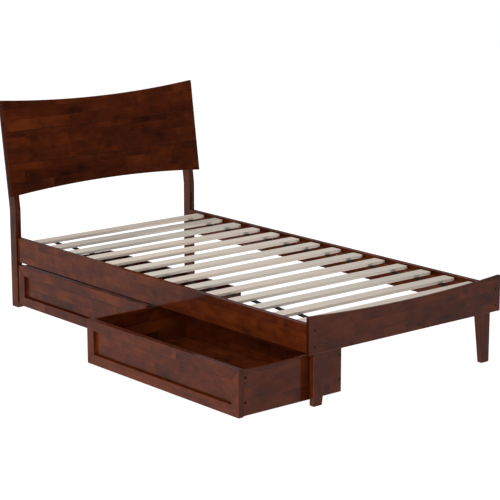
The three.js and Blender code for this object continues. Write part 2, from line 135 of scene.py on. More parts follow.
class Finish:
    """A material in the making: its shader, and short ways to add what the finishes share."""

    def __init__(self, name: str) -> None:
        """Makes a material that holds only a shader and its output."""
        self.made = bpy.data.materials.new(name)
        self.made.use_nodes = True
        self.made.node_tree.nodes.clear()
        self.add = partial(add_node, self.made.node_tree)
        self.shader = self.add("ShaderNodeBsdfPrincipled")
        self.add("ShaderNodeOutputMaterial", {"Surface": self.shader})

    def attribute(self, name: str, output: str = "Fac") -> bpy.types.NodeSocket:
        """Reads one of the board's own attributes."""
        return self.add("ShaderNodeAttribute", attribute_name=name).outputs[output]

    def place(self) -> bpy.types.NodeSocket:
        """Gives the object coordinates."""
        return self.add("ShaderNodeTexCoord").outputs["Object"]

    def math(self, operation: str, *values: Any, clamp: bool = False) -> bpy.types.NodeSocket:
        """Gives the result of an arithmetic step."""
        inputs = dict(enumerate(values))
        return self.add("ShaderNodeMath", inputs, operation=operation, use_clamp=clamp).outputs[0]

    def total(self, start: float, *parts: tuple[Any, float]) -> Any:
        """Adds up patterns, each times its share, from a starting value."""
        amount: Any = start
        for pattern, share in parts:
            amount = self.math("MULTIPLY_ADD", pattern, share, amount)
        return amount

    def stretched(self, place: Any, along: float, across: float) -> bpy.types.Node:
        """Scales coordinates along and across the grain, in repeats to a metre."""
        inputs = {0: place, 1: (along, across, across)}
        return self.add("ShaderNodeVectorMath", inputs, operation="MULTIPLY")

    def noise(self, place: Any, scale: float, detail: float, rough: float = 0.5) -> bpy.types.NodeSocket:
        """Gives a noise from 0 to 1."""
        inputs = {"Vector": place, "Scale": scale, "Detail": detail, "Roughness": rough}
        return self.add("ShaderNodeTexNoise", inputs).outputs["Fac"]

    def ranged(
        self, value: Any, low: float, high: float, start: float, end: float, smooth: bool = False
    ) -> bpy.types.Node:
        """Maps what lies from low to high onto start to end."""
        inputs = {"Value": value, "From Min": low, "From Max": high, "To Min": start, "To Max": end}
        return self.add("ShaderNodeMapRange", inputs, interpolation_type="SMOOTHSTEP" if smooth else "LINEAR")

    def ramp(self, value: Any, stops: Sequence[tuple[float, str]]) -> bpy.types.NodeSocket:
        """Gives the colour at a value, from the positions and codes of three or more colours."""
        made = self.add("ShaderNodeValToRGB", {"Fac": value})
        elements = made.color_ramp.elements
        while len(elements) < len(stops):
            elements.new(1.0)
        for element, (position, code) in zip(elements, stops):
            element.position, element.color = position, linear(code)
        return made.outputs["Color"]

    def mix(self, share: Any, *pair: Any) -> bpy.types.NodeSocket:
        """Mixes two colours, each a socket, a colour or a colour code."""
        first, second = (linear(item) if isinstance(item, str) else item for item in pair)
        return self.add("ShaderNodeMix", {"Factor": share, 6: first, 7: second}, data_type="RGBA").outputs[2]

    def knots(self, place: Any, radius: float, strength: float, rarity: float) -> bpy.types.NodeSocket:
        """Gives small round marks in the share of a pattern's cells that lies above the rarity."""
        cells = self.add("ShaderNodeTexVoronoi", {"Vector": place, "Scale": 1.0})
        core = self.ranged(cells.outputs["Distance"], 0.02, radius, strength, 0.0, smooth=True)
        chosen = self.math("GREATER_THAN", cells.outputs["Color"], rarity)
        return self.math("MULTIPLY", core, chosen)

    def bump(self, height: Any, strength: float, depth: float) -> bpy.types.Node:
        """Gives a relief of a height pattern."""
        return self.add("ShaderNodeBump", {"Height": height, "Strength": strength, "Distance": depth})

    def dress(self, **inputs: Any) -> bpy.types.Material:
        """Fills the shader's inputs, with an underscore for each space in a name, and gives the material."""
        named = {key.replace("_", " "): value for key, value in inputs.items()}
        fill(self.made.node_tree, self.shader, named)
        return self.made


@dataclass(frozen=True)
class StainedHardwood:
    """Edge-glued hardwood strips, wiped with walnut stain and sprayed with satin lacquer.

    The eye sees a deep red-brown with darker clouds where the stain soaked in, strips that differ a little
    in tone, small dark knots, and a soft veil of the floor's light in the lacquer. Grain runs along the
    board and end grain is darker. Faces along a seam get painted shade, and eased edges elsewhere are
    lighter, partly from thinner stain and partly as a painted highlight.
    """

    name: str = "walnut_stained_hardwood"
    deep: str = "#280C04"
    body: str = "#4E1E0A"
    bright: str = "#703311"
    # Colour of eased edges: partly thinner stain, partly a painted highlight.
    thin: str = "#8A4526"
    strip_length: float = 0.43
    strip_width: float = 0.05
    broad_share: float = 0.36
    cloud_share: float = 0.52
    mottle_share: float = 0.16
    fibre_share: float = 0.05
    figure_share: float = 0.03
    strip_share: float = 0.06
    tone_share: float = 0.035
    worn_and_highlight_share: float = 0.12
    roughness: float = 0.5
    roughness_spread: float = 0.07
    specular: float = 0.03
    lacquer: float = 0.26
    lacquer_roughness: float = 0.08

    def material(self) -> bpy.types.Material:
        """Builds the material from the board's own grain and tone attributes, with darker end grain, painted
        shade on seam faces, and eased faces lighter from thinner stain and a painted highlight.
        """
        finish = Finish(self.name)
        grain = finish.attribute("grain", "Vector")
        end_grain_and_seam_shade = finish.attribute("end_grain_and_seam_shade")
        strip = self._strips(finish, grain)
        # Each strip takes its patterns from a place of its own.
        cell = finish.add(
            "ShaderNodeVectorMath", {0: strip, 1: (2.3, 1.1, 0.7), 2: grain}, operation="MULTIPLY_ADD"
        )

        def noise(along: float, across: float, detail: float, rough: float = 0.5) -> bpy.types.NodeSocket:
            """Gives a noise on the strip's coordinates, in repeats to a metre."""
            return finish.noise(finish.stretched(cell, along, across), 1.0, detail, rough)

        cloud = noise(7.0, 12.0, 2.0)
        fibre = noise(9.0, 170.0, 3.0, 0.6)
        pore = noise(42.0, 560.0, 1.0)
        parts = [
            (noise(1.6, 4.5, 1.0), self.broad_share),
            (cloud, self.cloud_share),
            (noise(26.0, 34.0, 1.0), self.mottle_share),
            (fibre, self.fibre_share),
            (self._figure(finish, cell), self.figure_share),
            (strip, self.strip_share),
        ]
        start = 0.5 - sum(share for _, share in parts) / 2
        value = finish.total(start, *parts, (finish.attribute("tone"), self.tone_share))
        colour = finish.ramp(value, ((0.26, self.deep), (0.50, self.body), (0.78, self.bright)))

        # Dark patches about 30 mm wide where the stain soaked in, and a knot in one cell in three.
        soaked = finish.ranged(noise(15.0, 19.0, 1.0), 0.56, 0.78, 0.0, 0.5, smooth=True)
        knot = finish.knots(finish.stretched(cell, 5.5, 9.0), 0.14, 0.9, 0.66)
        dark = finish.math("MAXIMUM", soaked, knot)
        # End grain holds more stain; the seam faces are darkened too, as painted shade in the grooves.
        darker = finish.math("MULTIPLY_ADD", end_grain_and_seam_shade, 0.8, dark, clamp=True)
        # Eased edges are lighter, partly from thinner stain and partly as a painted highlight.
        worn_and_highlight = finish.math("MULTIPLY", finish.attribute("eased"), self.worn_and_highlight_share)
        height = finish.total(0.0, (fibre, 0.6), (pore, 0.4))
        low, high = self.roughness - self.roughness_spread, self.roughness + self.roughness_spread
        return finish.dress(
            Base_Color=finish.mix(worn_and_highlight, finish.mix(darker, colour, self.deep), self.thin),
            Roughness=finish.ranged(cloud, 0.0, 1.0, low, high),
            Normal=finish.bump(height, 0.22, 0.5 * MM),
            Specular_IOR_Level=self.specular,
            IOR=1.5,
            Coat_Weight=finish.math("MULTIPLY_ADD", end_grain_and_seam_shade, -0.95 * self.lacquer, self.lacquer, clamp=True),
            Coat_Roughness=self.lacquer_roughness,
        )

    def _strips(self, finish: Finish, grain: bpy.types.NodeSocket) -> bpy.types.NodeSocket:
        """Gives each glued strip its own grey."""
        inputs = {
            "Vector": grain,
            "Color1": (0.0, 0.0, 0.0, 1.0),
            "Color2": (1.0, 1.0, 1.0, 1.0),
            "Scale": 1.0,
            "Mortar Size": 0.0,
            "Mortar Smooth": 0.0,
            "Brick Width": self.strip_length,
            "Row Height": self.strip_width,
        }
        return finish.add("ShaderNodeTexBrick", inputs, offset=0.37).outputs["Color"]

    def _figure(self, finish: Finish, cell: bpy.types.Node) -> bpy.types.NodeSocket:
        """Gives growth rings 14 mm apart; real ones, 3 to 5 mm apart, are too fine to show on the bed."""
        inputs = {
            "Vector": finish.stretched(cell, 0.12, 1.0),
            "Scale": 22.0,
            "Distortion": 4.0,
            "Detail": 2.0,
            "Detail Scale": 1.3,
            "Detail Roughness": 0.5,
        }
        return finish.add("ShaderNodeTexWave", inputs, bands_direction="Y").outputs["Fac"]


@dataclass(frozen=True)
class PlanedSlatWood:
    """Planed, unfinished poplar: chalky and pale, with faint fibre lines and a few brown pin knots."""

    name: str = "planed_poplar_unfinished"
    green: str = "#E3DBCE"
    body: str = "#EBDED0"
    pink: str = "#EEDACB"
    knot: str = "#8A6548"
    tone_share: float = 0.22
    broad_share: float = 0.30
    fibre_share: float = 0.12
    roughness: float = 0.62

    def material(self) -> bpy.types.Material:
        """Builds the material, which reads each slat's own grain and tone attributes."""
        finish = Finish(self.name)
        grain = finish.attribute("grain", "Vector")
        broad = finish.noise(finish.stretched(grain, 2.0, 9.0), 1.0, 2.0)
        fibre = finish.noise(finish.stretched(grain, 7.0, 190.0), 1.0, 3.0)
        start = 0.5 - (self.broad_share + self.fibre_share) / 2
        patterns = ((broad, self.broad_share), (fibre, self.fibre_share))
        value = finish.total(start, (finish.attribute("tone"), self.tone_share), *patterns)
        colour = finish.ramp(value, ((0.2, self.green), (0.5, self.body), (0.8, self.pink)))
        streak = finish.ranged(fibre, 0.5, 0.8, 0.0, 0.12)
        pin = finish.knots(finish.stretched(grain, 4.0, 14.0), 0.08, 0.8, 0.74)
        return finish.dress(
            Base_Color=finish.mix(finish.math("MAXIMUM", pin, streak), colour, self.knot),
            Normal=finish.bump(fibre, 0.25, 0.3 * MM),
            Roughness=self.roughness,
            Specular_IOR_Level=0.3,
        )


@dataclass(frozen=True)
class WovenWebbing:
    """Woven polypropylene webbing: near black with a green cast, dull, in a plain weave whose low points get
    painted shade.
    """

    name: str = "woven_polypropylene_webbing"
    thread: str = "#1C1F19"
    # Near black colour for the weave's low points: painted shade.
    gap: str = "#080907"
    pitch: float = 3.0 * MM  # real threads are about 1.5 mm, drawn twice as coarse to show

    def material(self) -> bpy.types.Material:
        """Builds the material on object coordinates: the strap runs along Y and its weft along X."""
        finish = Finish(self.name)
        place = finish.place()
        turns = math.tau / self.pitch
        scaled = finish.add("ShaderNodeVectorMath", {0: place, 1: (turns, turns, 0.0)}, operation="MULTIPLY")
        axes = finish.add("ShaderNodeSeparateXYZ", {0: scaled})
        woven = finish.math("MULTIPLY", *(finish.math("SINE", axes.outputs[axis]) for axis in (0, 1)))
        height = finish.total(0.35, (woven, 0.5), (finish.noise(place, 900.0, 2.0), 0.3))
        return finish.dress(
            # The colour goes to the near-black one where the weave and its noise are low: painted shade.
            Base_Color=finish.mix(height, self.gap, self.thread),
            Normal=finish.bump(height, 0.6, 0.4 * MM),
            Roughness=0.85,
            Specular_IOR_Level=0.1,
            Sheen_Weight=0.03,
        )


@dataclass(frozen=True)
class PlatedSteel:
    """Pressed or turned steel: bright when zinc plated, near black when oxidised, with a fine spangle."""

    name: str
    colour: str
    roughness: float

    def material(self) -> bpy.types.Material:
        """Builds the material: a metal whose colour and gloss the spangle breaks up."""
        finish = Finish(self.name)
        spangle = finish.noise(finish.place(), 420.0, 3.0)
        shade = tuple(0.7 * part for part in linear(self.colour)[:3]) + (1.0,)
        return finish.dress(
            Base_Color=finish.mix(spangle, shade, self.colour),
            Roughness=finish.ranged(spangle, 0.0, 1.0, self.roughness - 0.08, self.roughness + 0.12),
            Metallic=1.0,
        )


@dataclass(frozen=True)
class MouldedNylon:
    """Injection-moulded nylon: charcoal, faintly grained by the tool, with dust in the texture."""

    name: str = "moulded_nylon_charcoal"
    colour: str = "#3A3A3B"
    dust: str = "#58554F"

    def material(self) -> bpy.types.Material:
        """Builds the material on object coordinates."""
        finish = Finish(self.name)
        speck = finish.noise(finish.place(), 260.0, 4.0)
        return finish.dress(
            Base_Color=finish.mix(finish.ranged(speck, 0.45, 0.8, 0.0, 0.5), self.colour, self.dust),
            Normal=finish.bump(speck, 0.2, 0.1 * MM),
            Roughness=0.48,
        )


class Shop:
    """The finishes, each made once."""

    def __init__(self) -> None:
        """Makes every material."""
        self.walnut = StainedHardwood().material()
        self.slat_wood = PlanedSlatWood().material()
        self.webbing = WovenWebbing().material()
        self.zinc = PlatedSteel("zinc_plated_steel", "#A9ABAD", 0.3).material()
        self.black_steel = PlatedSteel("black_oxide_steel", "#2B2A2C", 0.42).material()
        self.nylon = MouldedNylon().material()


# ---- Pieces and boards --------------------------------------------------------------------------------


class Slot(Enum):
    """The record's material slots."""

    WALNUT = "walnut_stain"
    SLAT = "slat_wood"
    WEBBING = "webbing"
    STEEL = "hook_steel"
    PLASTIC = "wheel_plastic"


def hand_over(piece: bpy.types.Object, body: str, slot: Slot, *nodes: str) -> None:
    """Gives a finished piece its body, and hides the nodes it stands for.

    Args:
        piece: The finished piece.
        body: The body it moves with.
        slot: The record's slot for its finish; not used.
        nodes: The nodes that it stands for, if any.
    """
    if nodes:
        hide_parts(*nodes)
    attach(piece, body)
    stands_for = ", ".join(nodes) or "no node"
    LOG.info("%s on %s: %d faces, for %s", piece.name, body, len(piece.data.polygons), stands_for)


def placed(name: str, mesh: bpy.types.Mesh) -> bpy.types.Object:
    """Gives a mesh its object, at the origin, in the scene."""
    made = bpy.data.objects.new(name, mesh)
    bpy.context.scene.collection.objects.link(made)
    return made


def solid(name: str, shape: bmesh.types.BMesh) -> bpy.types.Object:
    """Turns an edited shape into an object, and frees the shape."""
    mesh = bpy.data.meshes.new(name)
    shape.to_mesh(mesh)
    shape.free()
    return placed(name, mesh)


def settle(piece: bpy.types.Object) -> None:
    """Turns what a piece's modifiers make of it into its plain mesh, and removes them."""
    bpy.context.view_layer.update()
    evaluated = piece.evaluated_get(bpy.context.evaluated_depsgraph_get())
    mesh = bpy.data.meshes.new_from_object(evaluated)
    piece.modifiers.clear()
    piece.data = mesh


def soften(piece: bpy.types.Object) -> None:
    """Shades a piece smooth over its eased edges, with its flat faces left flat."""
    piece.data.shade_smooth()
    piece.data.set_sharp_from_angle(angle=SMOOTHED)
    weighted = piece.modifiers.new("Weighted", "WEIGHTED_NORMAL")
    weighted.keep_sharp = True
    weighted.weight = SMOOTHING_WEIGHT
    settle(piece)


@dataclass(frozen=True)
class Drilling:
    """Round recesses in a board's face: where they are, which way they face, and their size."""

    places: tuple[Vector, ...]
    facing: Vector
    radius: float
    depth: float
    sides: int = 20

    def cutter(self) -> bpy.types.Object:
        """Builds the bars that cut the recesses, as one mesh object."""
        shape = bmesh.new()
        turn = self.facing.to_track_quat("Z", "Y").to_matrix().to_4x4()
        for place in self.places:
            bmesh.ops.create_cone(
                shape,
                cap_ends=True,
                segments=self.sides,
                radius1=self.radius,
                radius2=self.radius,
                depth=2 * self.depth,
                matrix=Matrix.Translation(place) @ turn,
            )
        return solid("cutter", shape)


@dataclass
class Joiner:
    """Makes walnut boards from the model's nodes: eased edges, recesses, and the grain each board has."""

    walnut: bpy.types.Material
    rng: random.Random = field(default_factory=lambda: random.Random(SEED))
    flatness: float = math.radians(0.1)
    sharpness: float = math.radians(25)
    rounding: int = 3
    end_lean: float = 0.7
    seam_lean: float = 0.3
    flat_lean: float = 0.985

    def board(
        self,
        name: str,
        node: str,
        along: Vector,
        across: Vector,
        ease: float = 1.6 * MM,
        holes: Sequence[Drilling] = (),
        shaded_seams: Sequence[Vector] = (),
        body: str = "bed",
    ) -> None:
        """Makes the finished board that stands for a node, and hands it over.

        Args:
            name: The piece's name.
            node: The model's node that gives the board's shape.
            along: The direction of the grain.
            across: The direction across the board's width.
            ease: How far each sharp edge is rounded.
            holes: The recesses to cut.
            shaded_seams: The directions of faces that get painted shade along a seam: where another board
                lies against this one, or along a drawer's upper rail's lower edge.
            body: The body it moves with.
        """
        shape = bmesh.new()
        shape.from_mesh(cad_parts[node].data)
        bmesh.ops.remove_doubles(shape, verts=shape.verts, dist=0.001 * MM)
        bmesh.ops.dissolve_limit(shape, angle_limit=self.flatness, verts=shape.verts, edges=shape.edges)
        sharp = [
            edge
            for edge in shape.edges
            if edge.is_manifold and edge.is_convex and edge.calc_face_angle() > self.sharpness
        ]
        bmesh.ops.bevel(
            shape,
            geom=sharp,
            offset=ease,
            offset_type="OFFSET",
            segments=self.rounding,
            profile=0.5,
            affect="EDGES",
            clamp_overlap=True,
        )
        piece = solid(name, shape)
        for drilling in holes:
            self._drill(piece, drilling)
        piece.data.materials.clear()
        piece.data.materials.append(self.walnut)
        self._stamp(piece.data, along, across, shaded_seams)
        soften(piece)
        hand_over(piece, body, Slot.WALNUT, node)

    def _drill(self, piece: bpy.types.Object, drilling: Drilling) -> None:
        """Cuts a set of recesses into a piece."""
        cutter = drilling.cutter()
        cut = piece.modifiers.new("Drill", "BOOLEAN")
        cut.operation, cut.solver, cut.object = "DIFFERENCE", "EXACT", cutter
        settle(piece)
        bpy.data.objects.remove(cutter)

    def _stamp(self, mesh: bpy.types.Mesh, along: Vector, across: Vector, shaded_seams: Sequence[Vector]) -> None:
        """Writes the attributes that the walnut finish reads.

        End grain is marked, as it holds more stain and shows darker. Faces along a seam are marked too, for
        painted shade in the groove, and get no eased mark.

        Args:
            mesh: The board's mesh.
            along: The direction of the grain.
            across: The direction across the board's width.
            shaded_seams: The directions of faces that get painted shade along a seam.
        """
        axes = (along, across, along.cross(across))
        shift = [self.rng.uniform(0.0, 9.0) for _ in axes]
        grain = [vertex.co.dot(axis) + far for vertex in mesh.vertices for axis, far in zip(axes, shift)]
        mesh.attributes.new("grain", "FLOAT_VECTOR", "POINT").data.foreach_set("vector", grain)
        end_grain_and_seam_shade, eased = [], []
        for face in mesh.polygons:
            lean = [abs(face.normal.dot(axis)) for axis in axes]
            seam = any(face.normal.dot(way) > self.seam_lean for way in shaded_seams)
            end_grain_and_seam_shade.append(float(lean[0] > self.end_lean or seam))
            eased.append(float(max(lean) < self.flat_lean and not seam))
        tone = [self.rng.uniform(-1.0, 1.0)] * len(mesh.vertices)
        for key, domain, values in (
            ("tone", "POINT", tone),
            ("end_grain_and_seam_shade", "FACE", end_grain_and_seam_shade),
            ("eased", "FACE", eased),
        ):
            mesh.attributes.new(key, "FLOAT", domain).data.foreach_set("value", values)


# ---- Geometry node recipes ----------------------------------------------------------------------------


class Recipe:
    """A geometry node tree with named sizes, run once on an object and then turned into its plain mesh."""

    def __init__(self, name: str, sizes: dict[str, float | int | tuple[float, float, float]]) -> None:
        """Opens the tree with one named input for each size.

        Args:
            name: The tree's name.
            sizes: Each input's name and its usual value.
        """
        self.tree = bpy.data.node_groups.new(name, "GeometryNodeTree")
        face = self.tree.interface
        face.new_socket("Geometry", in_out="INPUT", socket_type="NodeSocketGeometry")
        face.new_socket("Geometry", in_out="OUTPUT", socket_type="NodeSocketGeometry")
        self._identifiers: dict[str, str] = {}
        for key, value in sizes.items():
            kind = {int: "NodeSocketInt", float: "NodeSocketFloat", tuple: "NodeSocketVector"}[type(value)]
            socket = face.new_socket(key, in_out="INPUT", socket_type=kind)
            socket.default_value = value
            self._identifiers[key] = socket.identifier
        self.add = partial(add_node, self.tree)
        self.entry = self.add("NodeGroupInput")

    def size(self, value: Any) -> Any:
        """Gives the socket of a size that is named, and anything but a name as it is."""
        return self.entry.outputs[value] if isinstance(value, str) else value

    def math(self, operation: str, *values: Any) -> bpy.types.NodeSocket:
        """Gives the result of an arithmetic step on named sizes, sockets and numbers."""
        inputs = dict(enumerate(map(self.size, values)))
        return self.add("ShaderNodeMath", inputs, operation=operation).outputs[0]

    def point(self, *axes: Any) -> bpy.types.NodeSocket:
        """Gives a vector from three named sizes, sockets or numbers."""
        return self.add("ShaderNodeCombineXYZ", dict(enumerate(map(self.size, axes)))).outputs[0]

    def rounded(self, width: Any, height: Any, radius: Any, count: int = 3) -> bpy.types.Node:
        """Gives a rectangle with round corners as a curve, each corner with count points."""
        sides = {"Width": self.size(width), "Height": self.size(height)}
        outline = self.add("GeometryNodeCurvePrimitiveQuadrilateral", sides)
        corners = {"Curve": outline, "Radius": self.size(radius), "Count": count}
        return self.add("GeometryNodeFilletCurve", corners, mode="POLY")

    def shifted(self, geometry: Any, *axes: Any) -> bpy.types.Node:
        """Moves a geometry."""
        return self.add("GeometryNodeTransform", {"Geometry": geometry, "Translation": self.point(*axes)})

    def store(self, geometry: Any, name: str, value: Any, kind: str, domain: str) -> bpy.types.Node:
        """Writes a named attribute of a data type on a domain."""
        inputs = {"Geometry": geometry, "Name": name, "Value": value}
        return self.add("GeometryNodeStoreNamedAttribute", inputs, data_type=kind, domain=domain)

    def named(self, name: str) -> bpy.types.Node:
        """Reads a named vector attribute."""
        return self.add("GeometryNodeInputNamedAttribute", {"Name": name}, data_type="FLOAT_VECTOR")

    def close(self, geometry: Any, material: bpy.types.Material) -> None:
        """Ends the tree: instances made real, and the material set."""
        real = self.add("GeometryNodeRealizeInstances", {"Geometry": geometry})
        painted = self.add("GeometryNodeSetMaterial", {"Geometry": real, "Material": material})
        self.add("NodeGroupOutput", {"Geometry": painted})

    def run(
        self,
        name: str,
        sites: Iterable[tuple[Vector, Vector]] = (),
        **values: float | int | tuple[float, float, float],
    ) -> bpy.types.Object:
        """Runs the tree and keeps the result as a plain mesh.

        Args:
            name: The piece's name.
            sites: Where each repeat goes, and which way it faces.
            values: Sizes that differ from the usual ones; a space in a name is written as an underscore.

        Returns:
            The piece's object.
        """
        sites = list(sites)
        mesh = bpy.data.meshes.new(name)
        mesh.from_pydata([place for place, _ in sites], [], [])
        facing = mesh.attributes.new("facing", "FLOAT_VECTOR", "POINT")
        facing.data.foreach_set("vector", [part for _, way in sites for part in way])
        piece = placed(name, mesh)
        modifier = piece.modifiers.new(self.tree.name, "NODES")
        modifier.node_group = self.tree
        for key, value in values.items():
            modifier[self._identifiers[key.replace("_", " ")]] = value
        settle(piece)
        return piece


class Slats(Recipe):
    """A deck of equal slats with rounded corners, a pitch apart, each with its own grain and tone."""

    def __init__(self, material: bpy.types.Material) -> None:
        """Builds the tree."""
        super().__init__(
            "Slat deck",
            {
                "Length": 0.972,
                "Width": 0.064,
                "Thickness": 0.012,
                "Corner": 0.007,
                "Count": 14,
                "Pitch": 0.1422,
                "First Middle": (0.0, 0.0, 0.0),
                "Seed": SEED,
            },
        )
        add = self.add
        outline = self.rounded("Length", "Width", "Corner", 5)
        sheet = add("GeometryNodeFillCurve", {"Curve": outline}, mode="NGONS")
        rise = {"Mesh": sheet, "Offset Scale": self.size("Thickness"), "Individual": False}
        risen = add("GeometryNodeExtrudeMesh", rise).outputs["Mesh"]
        under = add("GeometryNodeFlipFaces", {"Mesh": sheet})
        closed = add("GeometryNodeJoinGeometry", {"Geometry": [risen, under]})
        slat = add("GeometryNodeMergeByDistance", {"Geometry": closed, "Distance": 0.01 * MM})
        row = add(
            "GeometryNodeMeshLine",
            {
                "Count": self.size("Count"),
                "Start Location": self.size("First Middle"),
                "Offset": self.point(0.0, self.math("MULTIPLY", "Pitch", -1.0), 0.0),
            },
        )
        deck = add("GeometryNodeInstanceOnPoints", {"Points": row, "Instance": slat})
        spread = {0: (0.0, 0.0, 0.0), 1: (9.0, 9.0, 9.0), 8: self.size("Seed")}
        shift = add("FunctionNodeRandomValue", spread, data_type="FLOAT_VECTOR").outputs[0]
        chance = {2: -1.0, 3: 1.0, 8: self.size("Seed")}
        tone = add("FunctionNodeRandomValue", chance, data_type="FLOAT").outputs[1]
        dealt = self.store(deck, "shift", shift, "FLOAT_VECTOR", "INSTANCE")
        toned = self.store(dealt, "tone", tone, "FLOAT", "INSTANCE")
        real = add("GeometryNodeRealizeInstances", {"Geometry": toned})
        place = add("GeometryNodeInputPosition")
        moved = add("ShaderNodeVectorMath", {0: place, 1: self.named("shift")}, operation="ADD")
        self.close(self.store(real, "grain", moved, "FLOAT_VECTOR", "POINT"), material)


class Strap(Recipe):
    """A webbing strap along Y that touches every slat and hangs a little between them."""

    def __init__(self, material: bpy.types.Material) -> None:
        """Builds the tree."""
        super().__init__(
            "Slat strap",
            {
                "Start": (0.0, 0.0, 0.0),
                "Length": 1.897,
                "Width": 0.028,
                "Thickness": 0.0015,
                "Sag": 0.003,
                "Pitch": 0.1422,
                "Lead": 0.024,
                "Steps": 320,
            },
        )
        add = self.add
        step = self.math("DIVIDE", "Length", self.math("SUBTRACT", "Steps", 1.0))
        start = {"Count": self.size("Steps"), "Start Location": self.size("Start")}
        line = add("GeometryNodeMeshLine", {**start, "Offset": self.point(0.0, step, 0.0)})
        far = self.math("MULTIPLY", add("GeometryNodeInputIndex").outputs[0], step)
        turns = self.math("DIVIDE", self.math("SUBTRACT", far, "Lead"), "Pitch")
        swing = self.math("COSINE", self.math("MULTIPLY", turns, math.tau))
        # Flat for as long as a slat is wide, then down to the full sag between two slats.
        low = self.math("MAXIMUM", self.math("MULTIPLY_ADD", swing, -0.85, 0.15), 0.0)
        drop = self.math("MULTIPLY", low, self.math("MULTIPLY", "Sag", -1.0))
        hung = add("GeometryNodeSetPosition", {"Geometry": line, "Offset": self.point(0.0, 0.0, drop)})
        curve = add("GeometryNodeMeshToCurve", {"Mesh": hung})
        path = add("GeometryNodeSetCurveNormal", {"Curve": curve}, mode="Z_UP")
        section = self.rounded("Width", "Thickness", self.math("MULTIPLY", "Thickness", 0.45))
        ribbon = add("GeometryNodeCurveToMesh", {"Curve": path, "Profile Curve": section, "Fill Caps": True})
        self.close(ribbon, material)


class Staples(Recipe):
    """Wire staples that tack a strap to the underside of each slat."""

    def __init__(self, material: bpy.types.Material) -> None:
        """Builds the tree."""
        super().__init__("Staples", {"Crown": 0.011, "Leg": 0.003, "Wire": 0.0006, "Below": 0.0004})
        add = self.add
        low = self.math("MULTIPLY", "Below", -1.0)
        left, right = (self.math("MULTIPLY", "Crown", share) for share in (-0.5, 0.5))
        lines = [
            self._wire((left, 0.0, low), (right, 0.0, low)),
            self._wire((left, 0.0, low), (left, 0.0, "Leg")),
            self._wire((right, 0.0, low), (right, 0.0, "Leg")),
        ]
        wire = add("GeometryNodeCurvePrimitiveCircle", {"Resolution": 6, "Radius": self.size("Wire")})
        joined = add("GeometryNodeJoinGeometry", {"Geometry": lines})
        bent = add("GeometryNodeCurveToMesh", {"Curve": joined, "Profile Curve": wire, "Fill Caps": True})
        self.close(add("GeometryNodeInstanceOnPoints", {"Points": self.entry, "Instance": bent}), material)

    def _wire(self, start: Sequence[Any], end: Sequence[Any]) -> bpy.types.Node:
        """Gives a straight length of wire's path."""
        ends = {"Start": self.point(*start), "End": self.point(*end)}
        return self.add("GeometryNodeCurvePrimitiveLine", ends)


class Drive(Enum):
    """The recess in a fastener's head."""

    CROSS = "cross recess"
    HEXAGON = "hexagon socket"


class Fasteners(Recipe):
    """Screw or bolt heads at given places, each turned by chance about its own axis."""

    taper: float = 0.72
    sides: int = 20

    def __init__(self, drive: Drive, material: bpy.types.Material) -> None:
        """Builds the tree for one kind of head.

        Args:
            drive: The recess in the head.
            material: The head's finish.
        """
        super().__init__(
            drive.value.capitalize(),
            {"Radius": 0.004, "Crown": 0.0008, "Seat": 0.001, "Recess": 0.0022, "Seed": SEED},
        )
        add = self.add
        skirt = self._bar(self.sides, "Radius", self.math("MULTIPLY", "Seat", 2.0))
        crown = {
            "Vertices": self.sides,
            "Radius Top": self.math("MULTIPLY", "Radius", self.taper),
            "Radius Bottom": self.size("Radius"),
            "Depth": self.size("Crown"),
        }
        domed = self.shifted(add("GeometryNodeMeshCone", crown).outputs["Mesh"], 0.0, 0.0, "Seat")
        head = add("GeometryNodeMeshBoolean", {"Mesh 2": [skirt, domed]}, operation="UNION").outputs["Mesh"]
        top = self.math("ADD", "Crown", "Seat")
        deep = self.math("MULTIPLY", top, 1.2)
        if drive is Drive.CROSS:
            wide, thin = (self.math("MULTIPLY", "Recess", share) for share in (2.0, 0.5))
            tools = [
                add("GeometryNodeMeshCube", {"Size": self.point(*sizes, deep)}).outputs["Mesh"]
                for sizes in ((wide, thin), (thin, wide))
            ]
        else:
            tools = [self._bar(6, "Recess", deep)]
        tools = [self.shifted(tool, 0.0, 0.0, top) for tool in tools]
        cut = add("GeometryNodeMeshBoolean", {"Mesh 1": head, "Mesh 2": tools}, operation="DIFFERENCE")
        turned = add("FunctionNodeAlignRotationToVector", {"Vector": self.named("facing")}, axis="Z")
        chance = {2: 0.0, 3: math.tau, 8: self.size("Seed")}
        spin = add("FunctionNodeRandomValue", chance, data_type="FLOAT").outputs[1]
        about = add("FunctionNodeAxisAngleToRotation", {"Axis": (0.0, 0.0, 1.0), "Angle": spin})
        both = {"Rotation": turned, "Rotate By": about}
        rotation = add("FunctionNodeRotateRotation", both, rotation_space="LOCAL")
        heads = {"Points": self.entry, "Instance": cut.outputs["Mesh"], "Rotation": rotation}
        self.close(add("GeometryNodeInstanceOnPoints", heads), material)

    def _bar(self, sides: int, radius: str, depth: Any) -> bpy.types.NodeSocket:
        """Gives a bar with a regular section."""
        inputs = {"Vertices": sides, "Radius": self.size(radius), "Depth": depth}
        return self.add("GeometryNodeMeshCylinder", inputs).outputs["Mesh"]

    def fit(self, name: str, body: str, sites: Iterable[tuple[Vector, Vector]], **sizes: float) -> None:
        """Sets heads at their places, and hands them over.

        Args:
            name: The piece's name.
            body: The body it moves with.
            sites: Each head's place and the direction it faces.
            sizes: The head's sizes in millimetres.
        """
        heads = self.run(name, sites, **{key: value * MM for key, value in sizes.items()})
        hand_over(heads, body, Slot.STEEL)


